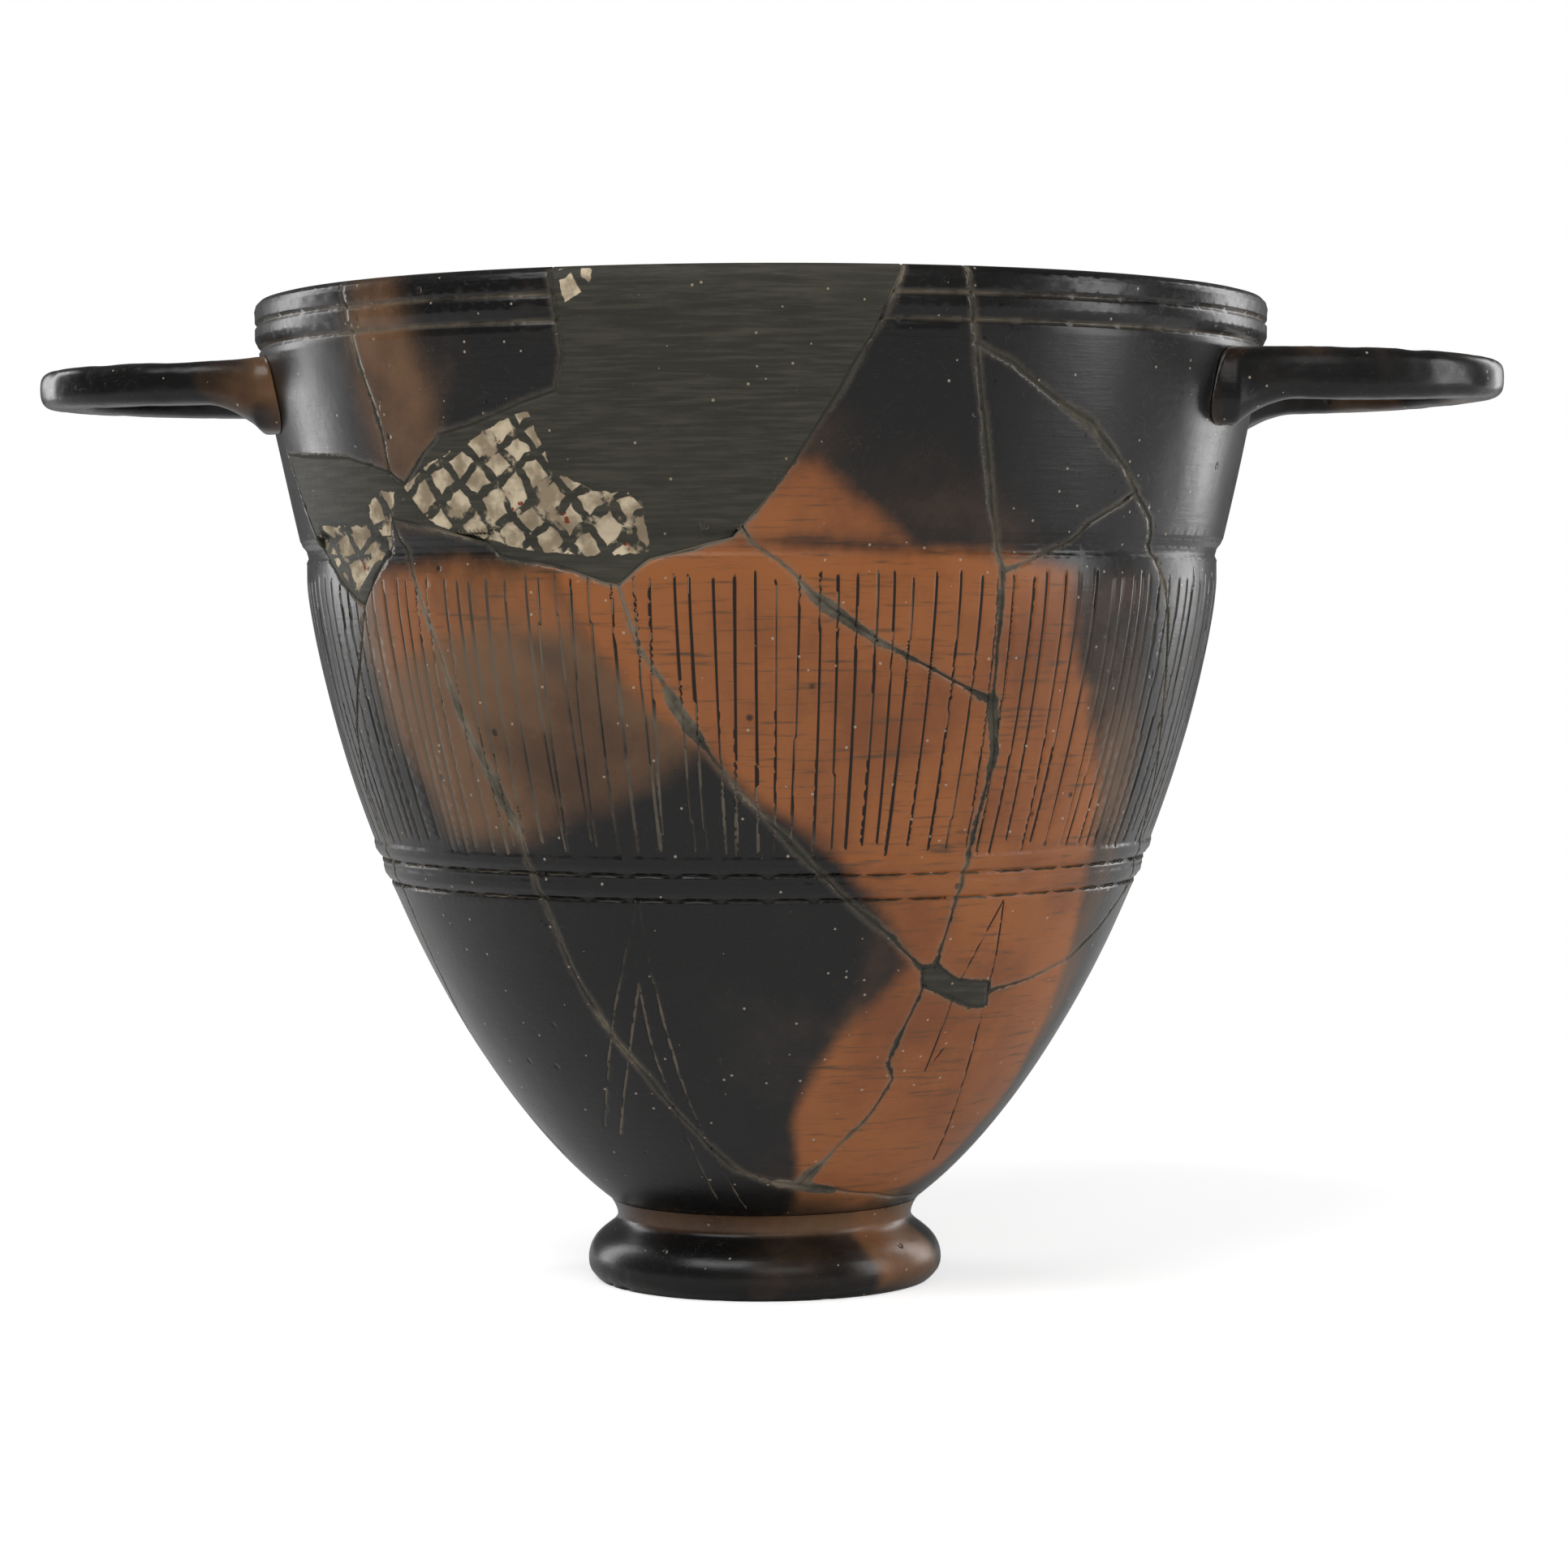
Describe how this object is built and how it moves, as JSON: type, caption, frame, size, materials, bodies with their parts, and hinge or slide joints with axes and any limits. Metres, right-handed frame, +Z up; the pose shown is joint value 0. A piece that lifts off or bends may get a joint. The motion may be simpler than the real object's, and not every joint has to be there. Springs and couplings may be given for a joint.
{
  "type": "skyphos",
  "caption": "Deep black drinking cup with a stepped wall, horizontal loop handles and a ring foot, broken into sherds and restored with grey plaster.",
  "frame": {"origin": "on the ground under the middle of the ring foot", "axes": "+X along the line through both handles, +Z up through the mouth; the side with the plaster fills faces -Y"},
  "size_m": [0.226, 0.1548, 0.15],
  "materials": {
    "black_clay": "burnished, satin gloss",
    "brown_clay": "burnished, satin gloss",
    "orange_clay": "burnished, satin",
    "grey_plaster": "painted plaster, matte"
  },
  "bodies": {
    "root": {"rim_sherd_left": "black_clay", "rim_sherd_centre": "black_clay", "shoulder_sherd_triangle": "black_clay", "handle_zone_sherd": "black_clay", "frieze_sherd_centre": "orange_clay", "frieze_sherd_right": "orange_clay", "body_sherd_front": "brown_clay", "base_sherd_left": "black_clay", "lower_sherd_right": "orange_clay", "plaster_fill_large": "grey_plaster", "plaster_fill_junction": "grey_plaster", "foot": "black_clay", "handle_right": "black_clay", "handle_left": "black_clay"}
  },
  "joints": []
}
